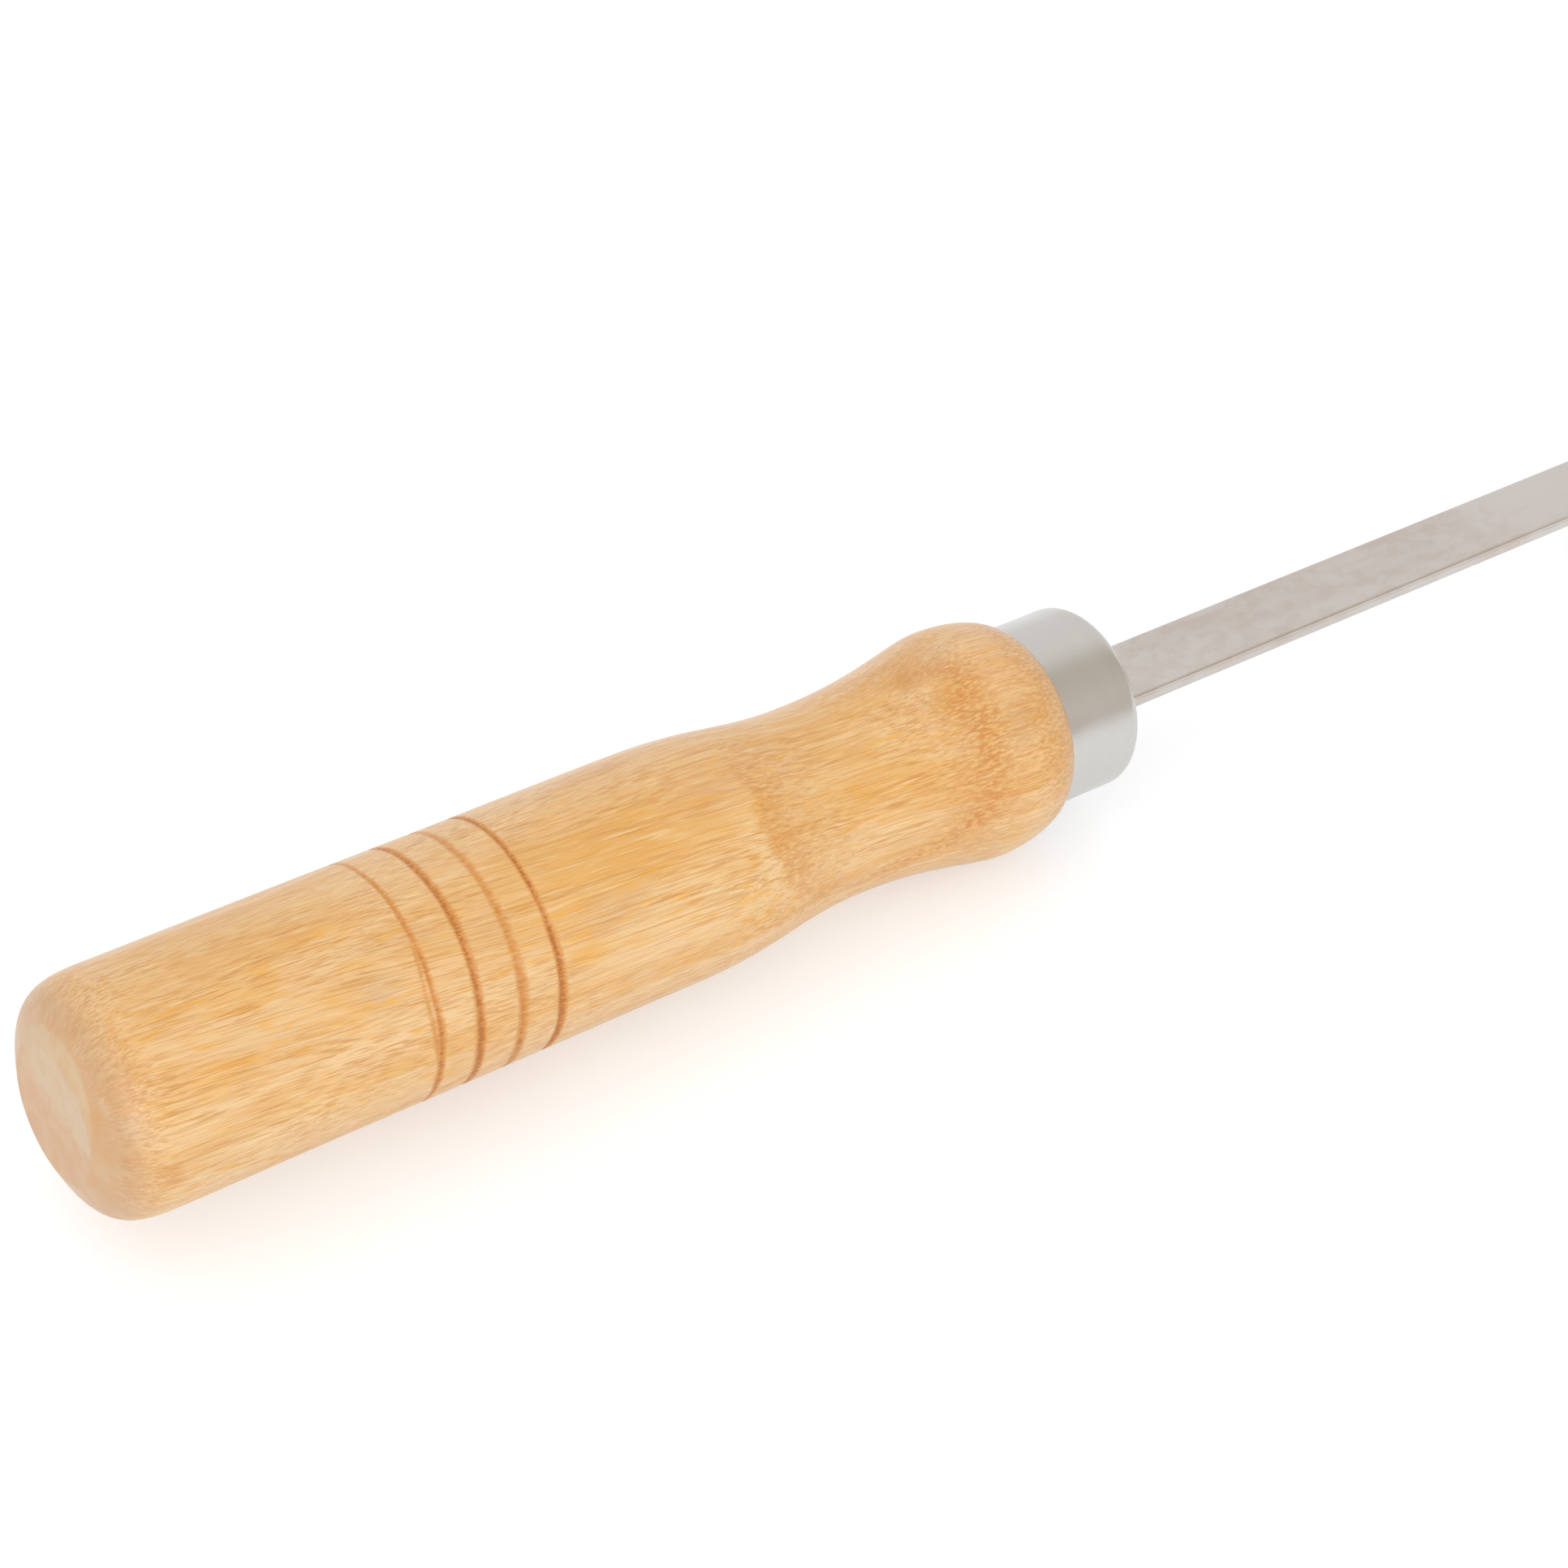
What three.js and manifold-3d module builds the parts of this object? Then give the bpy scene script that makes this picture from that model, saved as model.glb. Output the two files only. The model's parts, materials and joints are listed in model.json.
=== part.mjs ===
// Kebab skewer: a flat stainless steel blade set in a turned wooden handle, behind a drawn steel ferrule.
//
// All lengths are millimetres. The skewer's axis runs along X, with the handle's butt end at -X and the
// blade's point at +X, and the blade's flat faces look up and down. While a piece is being shaped, its
// stations are measured along the axis from the butt end. The finished group is then moved so that the
// origin lies under the middle of the skewer's length, level with the handle's lowest flat.

import * as THREE from 'three';
import { mergeVertices } from 'three/addons/utils/BufferGeometryUtils.js';
import Module from 'manifold-3d';

const wasm = await Module();
wasm.setup();

// Fits between neighbouring pieces
const clearance = 0.3;
const overrun = 2;

// Handle, outside
const handleLength = 142.3;      // butt end to the shoulder that the ferrule meets
const gripRadius = 15.2;
const gripEnd = 83.5;            // station where the straight grip starts to narrow
const waistStation = 109.7;
const waistRadius = 13;
const swellStation = 133.2;
const swellRadius = 15.7;

// Handle, how gently its curves leave each of those places
const gripEndReach = 12.8;
const waistRearReach = 10.4;
const waistFrontReach = 13;
const swellReach = 3.8;

// Handle, rounded butt end
const buttFlatRadius = 8.8;
const buttRoundLength = 9.2;
const buttFlatReach = 4.9;
const buttGripReach = 6.8;
const buttFlatAngle = THREE.MathUtils.degToRad(24);

// Handle, lines cut and burnt round the grip
const lineCount = 4;
const firstLine = 42.9;
const linePitch = 5.65;
const lineWidth = 0.9;
const lineDepth = 0.45;

// Handle, inside
const boreRadius = 4.5;
const boreBottomAllowance = 4;   // drilled this much deeper than the tang reaches
const drillPointAngle = THREE.MathUtils.degToRad(118);

// Ferrule
const ferruleRadius = 12.5;
const ferruleWall = 0.8;
const ferruleFront = 12.35;      // how far its front face stands ahead of the handle's shoulder
const ferruleEdgeRadius = 1.6;

// Blade
const bladeWidth = 10;
const bladeThickness = 2;
const bladeLength = 400;         // ferrule's front face to the point
const bladeEdge = 0.3;           // bevel on the long edges
const tangWidth = 6;
const tangLength = 90;
const shoulderDraft = 0.5;
const pointLength = 30;
const pointTipWidth = 1.6;
const pointTipThickness = 1;
const pointFullness = 1.6;       // 1 gives straight sides, more gives rounder ones

// Adhesive
const adhesiveRecess = 2;        // how far its open end lies below the mouth of the bore

// How finely round shapes are divided
const turns = 48;
const adhesiveTurns = 32;
const curveSteps = 8;
const edgeSteps = 4;
const pointSteps = 8;

// Stations that follow from the sizes above
const ferruleFace = handleLength + ferruleFront;
const ferruleInside = ferruleFace - ferruleWall;
const spigotFront = ferruleInside - clearance;
const shoulderStation = ferruleInside;
const tangEnd = shoulderStation - tangLength;
const boreBottom = tangEnd - boreBottomAllowance;
const totalLength = ferruleFace + bladeLength;
const lowestFlat = swellRadius * Math.cos(Math.PI / turns);

// A point of a turned profile: radius first, then station
const at = (station, radius) => new THREE.Vector2(radius, station);

// A cubic curve between two points of a profile, given its two inner control points
function sweep(from, leave, arrive, to, steps) {
  return new THREE.CubicBezierCurve(from, leave, arrive, to).getPoints(steps);
}

// A quarter of an ellipse that starts level at a station and turns down to the end radius
function roundedFront(station, radius, length, drop, steps) {
  const points = [];
  for (let i = 1; i <= steps; i += 1) {
    const angle = (Math.PI / 2) * (i / steps);
    points.push(at(station + length * Math.sin(angle), radius - drop + drop * Math.cos(angle)));
  }
  return points;
}

// Turns a profile about the skewer's axis, with a flat of the many-sided round facing down
function turned(profile, sides) {
  const geometry = new THREE.LatheGeometry(profile, sides, Math.PI / sides);
  return geometry.rotateZ(-Math.PI / 2);
}

// A block centred on the axis, between two stations
function block(from, to, width, height) {
  const geometry = new THREE.BoxGeometry(to - from, width, height);
  return geometry.translate((from + to) / 2, 0, 0);
}

function solidOf(geometry) {
  const bare = geometry.clone();
  bare.deleteAttribute('normal');
  bare.deleteAttribute('uv');
  const merged = mergeVertices(bare);
  return new wasm.Manifold(new wasm.Mesh({
    numProp: 3,
    vertProperties: merged.attributes.position.array,
    triVerts: new Uint32Array(merged.index.array),
  }));
}

function geometryOf(solid) {
  const mesh = solid.getMesh();
  const geometry = new THREE.BufferGeometry();
  geometry.setAttribute('position', new THREE.BufferAttribute(mesh.vertProperties, 3));
  geometry.setIndex(new THREE.BufferAttribute(mesh.triVerts, 1));
  geometry.computeVertexNormals();
  return geometry;
}

// The three points of one V-shaped line round the grip
function lineProfile(index) {
  const middle = firstLine + index * linePitch;
  return [
    at(middle - lineWidth / 2, gripRadius),
    at(middle, gripRadius - lineDepth),
    at(middle + lineWidth / 2, gripRadius),
  ];
}

// The handle's outside, from the middle of its butt end to the shoulder
function handleOutside() {
  const flatEdge = at(0, buttFlatRadius);
  const butt = sweep(
    flatEdge,
    at(buttFlatReach * Math.sin(buttFlatAngle), buttFlatRadius + buttFlatReach * Math.cos(buttFlatAngle)),
    at(buttRoundLength - buttGripReach, gripRadius),
    at(buttRoundLength, gripRadius),
    curveSteps,
  );
  const lines = [];
  for (let i = 0; i < lineCount; i += 1) lines.push(...lineProfile(i));
  const narrowing = sweep(
    at(gripEnd, gripRadius),
    at(gripEnd + gripEndReach, gripRadius),
    at(waistStation - waistRearReach, waistRadius),
    at(waistStation, waistRadius),
    curveSteps,
  );
  const swelling = sweep(
    at(waistStation, waistRadius),
    at(waistStation + waistFrontReach, waistRadius),
    at(swellStation - swellReach, swellRadius),
    at(swellStation, swellRadius),
    curveSteps,
  );
  const front = roundedFront(
    swellStation,
    swellRadius,
    handleLength - swellStation,
    swellRadius - ferruleRadius,
    curveSteps,
  );
  return [at(0, 0), ...butt, ...lines, ...narrowing, ...swelling.slice(1), ...front];
}

// One turned piece of wood: the outside, then the spigot inside the ferrule, then the blind bore
function makeHandle() {
  const spigotRadius = ferruleRadius - ferruleWall - clearance;
  const drillPoint = boreRadius / Math.tan(drillPointAngle / 2);
  return turned([
    ...handleOutside(),
    at(handleLength, spigotRadius),
    at(spigotFront, spigotRadius),
    at(spigotFront, boreRadius),
    at(boreBottom, boreRadius),
    at(boreBottom - drillPoint, 0),
  ], turns);
}

// A drawn cup over the spigot, with a rounded front edge and a slot that the blade passes through
function makeFerrule() {
  const rim = handleLength + clearance;
  const innerRadius = ferruleRadius - ferruleWall;
  const innerEdge = ferruleEdgeRadius - ferruleWall;
  const outside = roundedFront(
    ferruleFace - ferruleEdgeRadius,
    ferruleRadius,
    ferruleEdgeRadius,
    ferruleEdgeRadius,
    edgeSteps,
  );
  const inside = roundedFront(ferruleInside - innerEdge, innerRadius, innerEdge, innerEdge, edgeSteps);
  const cup = turned([
    at(ferruleInside, 0),
    ...inside.reverse(),
    at(ferruleInside - innerEdge, innerRadius),
    at(rim, innerRadius),
    at(rim, ferruleRadius),
    at(ferruleFace - ferruleEdgeRadius, ferruleRadius),
    ...outside,
    at(ferruleFace, 0),
  ], turns);
  const slot = block(
    ferruleInside - overrun,
    ferruleFace + overrun,
    bladeWidth + 2 * clearance,
    bladeThickness + 2 * clearance,
  );
  return geometryOf(solidOf(cup).subtract(solidOf(slot)));
}

// One cross-section of the blade: a rectangle with bevelled corners, in order round the axis
function bladeSection({ station, width, thickness, edge }) {
  const y = width / 2;
  const z = thickness / 2;
  return [
    [y - edge, z], [-y + edge, z], [-y, z - edge], [-y, -z + edge],
    [-y + edge, -z], [y - edge, -z], [y, -z + edge], [y, z - edge],
  ].map(([across, up]) => new THREE.Vector3(station, across, up));
}

// A closed solid through a row of like sections, with flat ends
function loft(sections) {
  const ring = sections[0].length;
  const last = (sections.length - 1) * ring;
  const index = [];
  for (let i = 0; i + 1 < sections.length; i += 1) {
    for (let j = 0; j < ring; j += 1) {
      const a = i * ring + j;
      const b = i * ring + ((j + 1) % ring);
      index.push(a, b, a + ring, b, b + ring, a + ring);
    }
  }
  for (let j = 1; j + 1 < ring; j += 1) {
    index.push(0, j + 1, j);
    index.push(last, last + j, last + j + 1);
  }
  const geometry = new THREE.BufferGeometry().setFromPoints(sections.flat());
  geometry.setIndex(index);
  geometry.computeVertexNormals();
  return geometry;
}

// One strip of steel: the tang, the shoulders, the parallel body and the point
function makeBlade() {
  const body = { width: bladeWidth, thickness: bladeThickness, edge: bladeEdge };
  const tang = { ...body, width: tangWidth };
  const sections = [
    { ...tang, station: tangEnd },
    { ...tang, station: shoulderStation - shoulderDraft },
    { ...body, station: shoulderStation },
    { ...body, station: ferruleFace + clearance },
  ];
  const pointStart = totalLength - pointLength;
  for (let i = 0; i <= pointSteps; i += 1) {
    const along = i / pointSteps;
    const narrowed = along ** pointFullness;
    sections.push({
      station: pointStart + pointLength * along,
      width: THREE.MathUtils.lerp(bladeWidth, pointTipWidth, narrowed),
      thickness: THREE.MathUtils.lerp(bladeThickness, pointTipThickness, narrowed),
      edge: bladeEdge,
    });
  }
  return loft(sections.map(bladeSection));
}

// Set adhesive that fills the bore round the tang and under its end
function makeAdhesive() {
  const radius = boreRadius - clearance;
  const base = boreBottom;
  const top = spigotFront - adhesiveRecess;
  const plug = turned([at(base, 0), at(base, radius), at(top, radius), at(top, 0)], adhesiveTurns);
  const pocket = block(
    tangEnd - clearance,
    top + overrun,
    tangWidth + 2 * clearance,
    bladeThickness + 2 * clearance,
  );
  return geometryOf(solidOf(plug).subtract(solidOf(pocket)));
}

const steel = new THREE.MeshStandardMaterial({ color: 0xc4c1bc, roughness: 0.38, metalness: 1 });
const drawnSteel = new THREE.MeshStandardMaterial({ color: 0xc9cacb, roughness: 0.3, metalness: 1 });
const wood = new THREE.MeshStandardMaterial({ color: 0xe6bd83, roughness: 0.5, metalness: 0 });
const resin = new THREE.MeshStandardMaterial({ color: 0xd8cfae, roughness: 0.35, metalness: 0 });

function piece(name, geometry, material) {
  const mesh = new THREE.Mesh(geometry, material);
  mesh.name = name;
  return mesh;
}

const skewer = new THREE.Group();
skewer.add(
  piece('handle', makeHandle(), wood),
  piece('ferrule', makeFerrule(), drawnSteel),
  piece('blade', makeBlade(), steel),
  piece('bore_adhesive', makeAdhesive(), resin),
);
skewer.position.set(-totalLength / 2, 0, lowestFlat);

export default skewer;
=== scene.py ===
"""Kebab skewer: the looks of a flat steel blade set in a turned wooden handle behind a drawn steel ferrule.

All lengths are metres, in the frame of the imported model. The skewer's axis runs along X, from the handle's
butt end to the blade's point. A station is a distance along the axis from the butt end. An angle round the
axis is 0 on the side that faces -Y and a quarter turn on top.
"""

import json
import math
from typing import NamedTuple

import bpy
import numpy as np
from bpy.props import FloatProperty, FloatVectorProperty, PointerProperty
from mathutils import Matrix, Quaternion, Vector


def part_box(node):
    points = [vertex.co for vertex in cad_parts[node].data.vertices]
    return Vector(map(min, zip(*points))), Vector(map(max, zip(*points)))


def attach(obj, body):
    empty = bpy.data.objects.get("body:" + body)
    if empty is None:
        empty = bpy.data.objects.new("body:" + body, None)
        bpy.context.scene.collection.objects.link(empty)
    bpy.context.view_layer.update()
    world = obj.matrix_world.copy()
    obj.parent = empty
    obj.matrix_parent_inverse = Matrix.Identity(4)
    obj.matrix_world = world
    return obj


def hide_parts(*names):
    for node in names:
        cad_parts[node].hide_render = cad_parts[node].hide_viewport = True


bl_info = {
    "name": "Kebab Skewer",
    "version": (1, 0, 0),
    "blender": (4, 5, 0),
    "location": "View3D > Sidebar > Skewer",
    "description": "Makes the pieces of a flat-bladed kebab skewer and the stage it lies on",
    "category": "Add Mesh",
}

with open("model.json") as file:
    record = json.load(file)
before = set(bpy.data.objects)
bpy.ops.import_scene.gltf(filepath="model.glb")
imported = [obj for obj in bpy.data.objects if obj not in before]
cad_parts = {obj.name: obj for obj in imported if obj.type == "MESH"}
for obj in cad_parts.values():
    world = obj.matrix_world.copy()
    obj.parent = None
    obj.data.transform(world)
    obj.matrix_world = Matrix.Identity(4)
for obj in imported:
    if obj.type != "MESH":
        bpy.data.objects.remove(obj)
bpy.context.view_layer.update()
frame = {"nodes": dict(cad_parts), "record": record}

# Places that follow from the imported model
mounts = {mount["name"]: mount for mount in frame["record"]["mounts"]}
butt_x, _, axis_z = mounts["butt_end"]["pos_m"]
spigot_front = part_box("handle")[1].x - butt_x
ferrule_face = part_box("ferrule")[1].x - butt_x
tang_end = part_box("blade")[0].x - butt_x
point_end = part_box("blade")[1].x - butt_x
blade_half_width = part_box("blade")[1].y
blade_half_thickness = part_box("blade")[1].z - axis_z

# How finely the handle is divided: points round the axis, and rows along each stretch of its outside and
# then over the spigot into the bore
HANDLE_COLUMNS = 250
DISC_ROWS = 11
BUTT_ROWS = 28
GRIP_ROWS = 176
CURVE_ROWS = 34
SHOULDER_ROWS = 22
INSIDE_ROWS = (2, 3, 3, 6, 2)

# How finely the ferrule is divided: points round the axis, rows on its round front edge, along its wall over
# the rear rim and back, on its inner edge, and on its face outside and inside
FERRULE_COLUMNS = 192
EDGE_ROWS = 12
WALL_ROWS = (14, 1, 1, 1, 8)
INNER_EDGE_ROWS = 6
FACE_ROWS = 7
INNER_ROWS = 4

# How finely the blade is divided: rows along each stretch, and points on each part of half a cross-section
TANG_ROWS = 12
BODY_ROWS = 260
POINT_ROWS = 40
TIP_ROWS = 7
TOP_POINTS = 6
ROLL_POINTS = 9
BEVEL_POINTS = 4
UNDER_POINTS = 5

# An edge between faces that lie more askew than this stays sharp
SHARP_ANGLE = math.radians(34)

# Rows crowd round each line: how far to its sides, and how many more lie at its middle for each one
# elsewhere. They are worked out on this many even steps.
CROWD_REACH = 0.0009
CROWD_EXTRA = 11
CROWD_STEPS = 4000

# The rows of the drilled cone end at this share of its depth
CONE_SHARE = 0.9

# The handle's surface strays in slow waves along it, with this many radians on a metre
DRIFT_RATE = 160


class Waver(NamedTuple):
    """How something strays round the handle: how far, in how many waves, and what it adds to a seed."""

    share: float
    waves: int
    draw: int


class LineMark(NamedTuple):
    """One burnt line, in metres and in shares.

    Below, it is burnt deeper by the share under and lies further back by the lean. The split is how far two
    passes of the wire lie apart.
    """

    half_width: float
    depth: float
    burn: float
    under: float
    lean: float
    wobble: float
    seed: int
    split: float = 0.0


# The four burnt lines, from the butt end forwards
LINE_MARKS = (
    LineMark(0.00053, 0.00009, 0.64, 0.62, 0.00042, 0.00010, 11, 0.00105),
    LineMark(0.00066, 0.00018, 0.92, 0.22, 0.00036, 0.00010, 12),
    LineMark(0.00078, 0.00009, 0.62, 0.36, 0.00014, 0.00018, 13),
    LineMark(0.00062, 0.00018, 0.96, 0.16, 0.00016, 0.00009, 14),
)

# Where two passes part and meet again, and how strong the second one is
SPLIT_FROM = math.radians(-12)
SPLIT_TO = math.radians(76)
SECOND_PASS = 0.66

# Every line: its width on top and what it gains below, as shares, how askew it is burnt, how all of these
# waver, and the most that a burn counts
TOP_WIDTH = 0.88
WIDTH_BELOW = 0.20
BURN_SKEW = 0.05
WIDTH_WAVER = Waver(0.16, 24, 50)
BURN_WAVER = Waver(0.18, 16, 90)
SKEW_WAVER = Waver(0.18, 6, 130)
MOST_BURN = 1.2

# A place counts as below the more, the deeper it lies under the axis, between these shares of the radius
BELOW_SPAN = (-1, 0.2)

# How the mottle behind the waist and the bloom beside it come and go with the depth below the growth layer,
# in shares of the depth at which that mottle has faded out
MOTTLE_COMES = (-0.03, 0.12)
MOTTLE_GOES = (0.15, 1)
BLOOM_COMES = (-0.40, -0.08)
BLOOM_GOES = (-0.03, 0.04)

# The mottle's strength behind the waist, and the share of it that goes with the depth
REAR_MOTTLE = 0.62
DEEP_LOSS = 0.85

# The depth at which the front mottle is strongest, in shares of its half thickness, and half the length over
# which the one takes over from the other at the waist
FRONT_DEPTH = 0.85
WAIST_CHANGE = 0.004

# Up to the layer's end the mottle fades over this angle, by this share behind the waist and so much less
# ahead of it
END_FADE = math.radians(30)
END_LOSS = 0.92
END_LOSS_EASED = 0.42

# The ferrule's slot: the power that squares its corners, and the shares of the way from it to the front
# edge between which the rows of the face lie
SLOT_SQUARENESS = 10
FACE_SHARES = (0.02, 0.98)

# The line that shearing leaves: its rows down the blade's side and how deep it is at each, as shares
SHEAR_DOWN = np.array([0.12, 0.19, 0.25, 0.31, 0.40])
SHEAR_NOTCH = np.array([0, 0.15, 1, 0.15, 0])

# A material's patterns are set out in millimetres, from the middle of the butt end
MILLIMETRES = 1000.0

# The names of the shared node groups
GRAIN = "Drawn Out Grain"
BRUSHED = "Brushed Steel"

# The fibres run a little askew to the axis: turned by these angles about Y and Z, in radians. They drift to
# the sides by this many millimetres, with this many drifts on a millimetre.
FIBRE_TURN = (0.0, -0.050, 0.061)
FIBRE_DRIFT = (0.0, 3.0, 3.0)
FIBRE_DRIFT_RATE = (0.02, 0.06, 0.06)

# The heart of the tree, across the handle's axis, in millimetres, and how many growth bands lie on a
# millimetre along the fibres and away from the heart
PITH = (0.0, 28.5, -52.8)
BANDS_ALONG = 0.012
BANDS_ACROSS = 0.55


class Patch(NamedTuple):
    """One patch in the wood: its place, its half length and half width, its colour and how strong it is.

    The station, the half length along the axis and the half width across it are millimetres. The angle that
    it faces round the axis is degrees.
    """

    station: float
    facing: float
    reach: float
    width: float
    tone: str
    weight: float


PATCHES = (
    Patch(132.5, 48, 5.2, 5.0, "stain", 0.90),
    Patch(123.5, 97, 4.6, 3.4, "mottle", 0.85),
    Patch(127.0, 76, 5.5, 3.6, "amber", 0.85),
    Patch(36.8, 47, 4.6, 3.8, "stain", 0.60),
    Patch(78.0, 118, 12.0, 3.6, "fibre", 0.45),
    Patch(87.0, 76, 8.0, 4.0, "mottle", 0.45),
    Patch(72.0, 68, 22.0, 8.0, "golden", 0.75),
    Patch(64.0, 26, 5.5, 2.6, "amber", 0.75),
    Patch(24.0, 93, 26.0, 7.0, "golden", 0.60),
    Patch(21.0, 68, 9.0, 2.4, "amber", 0.55),
    Patch(33.0, 84, 8.0, 2.0, "amber", 0.50),
    Patch(15.0, 40, 7.0, 2.4, "amber", 0.45),
    Patch(22.0, 2, 26.0, 4.6, "pale", 0.75),
    Patch(12.0, -16, 16.0, 4.5, "pale", 0.60),
    Patch(6.5, 2, 2.4, 3.0, "mottle", 0.60),
    Patch(4.6, 52, 2.2, 4.0, "fibre", 0.45),
    Patch(110.0, 72, 13.0, 5.0, "golden", 0.50),
    Patch(109.0, 22, 13.0, 6.0, "pale", 0.85),
    Patch(80.0, 26, 18.0, 7.0, "pale", 0.65),
    Patch(97.0, 22, 12.0, 7.0, "pale", 0.60),
    Patch(97.0, 72, 5.0, 4.5, "pale", 0.60),
    Patch(104.0, 42, 6.0, 4.5, "pale", 0.50),
    Patch(91.5, 64, 4.0, 3.0, "amber", 0.50),
    Patch(22.0, 20, 10.0, 2.6, "golden", 0.55),
    Patch(31.0, 50, 7.0, 3.0, "golden", 0.45),
    Patch(117.0, 80, 9.0, 4.0, "golden", 0.50),
    Patch(126.0, -16, 13.0, 6.0, "golden", 0.50),
    Patch(129.0, 34, 8.0, 5.0, "pale", 0.45),
    Patch(70.0, 42, 8.0, 5.0, "stain", 0.40),
)

# How ragged a patch's edge is, and the shares of its size between which it fades
PATCH_RAGGED = 0.5
PATCH_FADE = (0.15, 1.15)

# The paler upper half of the butt end, in millimetres: the middle and radius of its round edge and the width
# over which that fades, then how it sets in upwards, along a slant, and fades towards the far side
PALE_END_MIDDLE = (0.0, 0.4, 2.5)
PALE_END_RADIUS = 8.4
PALE_END_EDGE = 0.8
PALE_END_UPWARDS = (0.0, 3.6, 0.0, 0.85)
PALE_END_SLANT = -0.12
PALE_END_FAR = (4.0, 8.0, 1.0, 0.0)

# How ragged those two edges are
ROUND_EDGE_RAGGED = 0.4
SLANT_EDGE_RAGGED = 3.0


class Marking(NamedTuple):
    """Markings drawn out along the fibres.

    So many lie on a millimetre along the fibres and across them. The shift moves the pattern. They start to
    show at one value of the noise and have their full weight at another.
    """

    along: float
    across: float
    shift: float
    start: float
    full: float
    weight: float = 1.0
    detail: float = 2.0


MARKINGS = {
    "ragged": Marking(0.3, 0.9, 71.0, 0.3, 0.7, 0.5),
    "clouds": Marking(0.05, 0.16, 44.0, 0.56, 0.72, 0.25),
    "clusters": Marking(0.03, 0.22, 5.0, 0.38, 0.58),
    "flecks": Marking(0.22, 1.1, 7.0, 0.46, 0.76, 0.85),
    "light lines": Marking(0.12, 2.2, 15.0, 0.52, 0.70, 0.60),
    "clumps": Marking(0.025, 0.35, 61.0, 0.34, 0.58, 0.80),
    "fibres": Marking(0.19, 4.4, 1.0, 0.48, 0.66, detail=3.0),
    "fine fibres": Marking(0.055, 5.6, 21.0, 0.48, 0.66, 0.57),
    "specks": Marking(0.85, 3.2, 55.0, 0.38, 0.60, 0.88),
    "speckled areas": Marking(0.10, 0.30, 58.0, 0.18, 0.48),
    "blotches": Marking(0.22, 0.42, 90.0, 0.40, 0.66, 0.30),
    "end stains": Marking(0.22, 0.36, 95.0, 0.46, 0.70, 0.55),
    "strokes": Marking(0.85, 3.4, 33.0, 0.42, 0.68, 0.66, 3.0),
    "pale strokes": Marking(0.85, 3.4, 33.0, 0.46, 0.30, 0.12, 3.0),
    "uneven burn": Marking(0.9, 3.6, 70.0, 0.25, 0.75, 0.76, 3.0),
}

# How the wood follows the slope of its surface, its burn or its growth bands: where a change starts and ends,
# and its share at both
FADES = {
    "golden bands": (0.38, 0.64, 0.0, 0.78),
    "pale bands": (0.44, 0.68, 0.0, 0.62),
    "lying fibres": (0.30, 0.80, 1.0, 0.30),
    "cut fibres": (0.06, 0.30, 0.0, 0.12),
    "end grain": (0.14, 0.80, 0.0, 0.88),
    "flat end": (0.90, 1.0, 0.0, 0.16),
    "strokes start": (0.04, 0.30, 0.0, 1.0),
    "strokes end": (0.80, 0.97, 1.0, 0.0),
    "scorched": (0.10, 0.65, 0.0, 0.85),
    "burnt": (0.58, 1.15, 0.0, 0.90),
    "coat": (0.1, 0.7, 0.40, 0.05),
}

# The pale share of the bloom, the golden share of the mottle, and the least share that is left of a burn
BLOOM_SHARE = 0.6
MOTTLE_GLOW = 0.55
LEAST_BURN = 0.62

# The roughness of the lacquered wood, and what its fibres add to it and clouds to the ferrule's
WOOD_ROUGHNESS = 0.42
FIBRE_ROUGHNESS = 0.08
CLOUD_ROUGHNESS = 0.10

# The span of noise over which the steels and the resin change their shade, the shares of its colour that the
# ferrule changes between, and the darkest of the blade's and the resin's
SHADE_SPAN = (0.3, 0.7)
FERRULE_SHADES = (0.98, 1.01)
BLADE_SHADE = 0.97
RESIN_SHADE = 0.8

# The blade's warm cast: the noise and shares between which it drifts and is clouded, then where it ends, in
# millimetres from the butt end, and by how much
CAST_DRIFT = (0.35, 0.65, 0.25, 0.75)
CAST_CLOUD = (0.42, 0.62, -0.2, 0.2)
CAST_ENDS = (228.0, 246.0, 0.0, 0.75)

# Where the studio's walls and the gap in them change, in degrees from level in front up and over the top,
# with the shares at both, and how the gap sets in to the right of the camera
STUDIO_TURNS = {
    "walls": (60, 110, 0.0, 1.0),
    "gap top": (35, 80, 0.0, 1.0),
    "gap foot": (12, 28, 1.0, 0.0),
    "gap starts": (2, 14, 0.0, 1.0),
    "gap ends": (80, 112, 1.0, 0.0),
}
GAP_SIDE = (0.05, 0.3)

# The way from the handle to the lamp, and the camera's sensor in millimetres
LAMP_WAY = (-0.45, -0.8, 0.42)
SENSOR_WIDTH = 36.0


def length(name, description, default):
    """A size that a user would change, shown in the scene's own length unit."""
    return FloatProperty(name=name, description=description, default=default, unit="LENGTH", precision=5)


def angle(name, description, default):
    """An angle given in degrees and kept in radians."""
    return FloatProperty(name=name, description=description, default=math.radians(default), unit="ROTATION")


def amount(name, description, default, top=1.0):
    """A plain number between nothing and a highest value."""
    return FloatProperty(name=name, description=description, default=default, min=0.0, max=top)


def colour(name, description, red, green, blue):
    """A colour given in the usual 0 to 255 steps and kept as the linear light that they stand for."""
    steps = np.array([red, green, blue]) / 255
    linear = np.where(steps <= 0.04045, steps / 12.92, ((steps + 0.055) / 1.055) ** 2.4)
    return FloatVectorProperty(
        name=name, description=description, default=linear.tolist(), subtype="COLOR", min=0.0, max=1.0
    )


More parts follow.
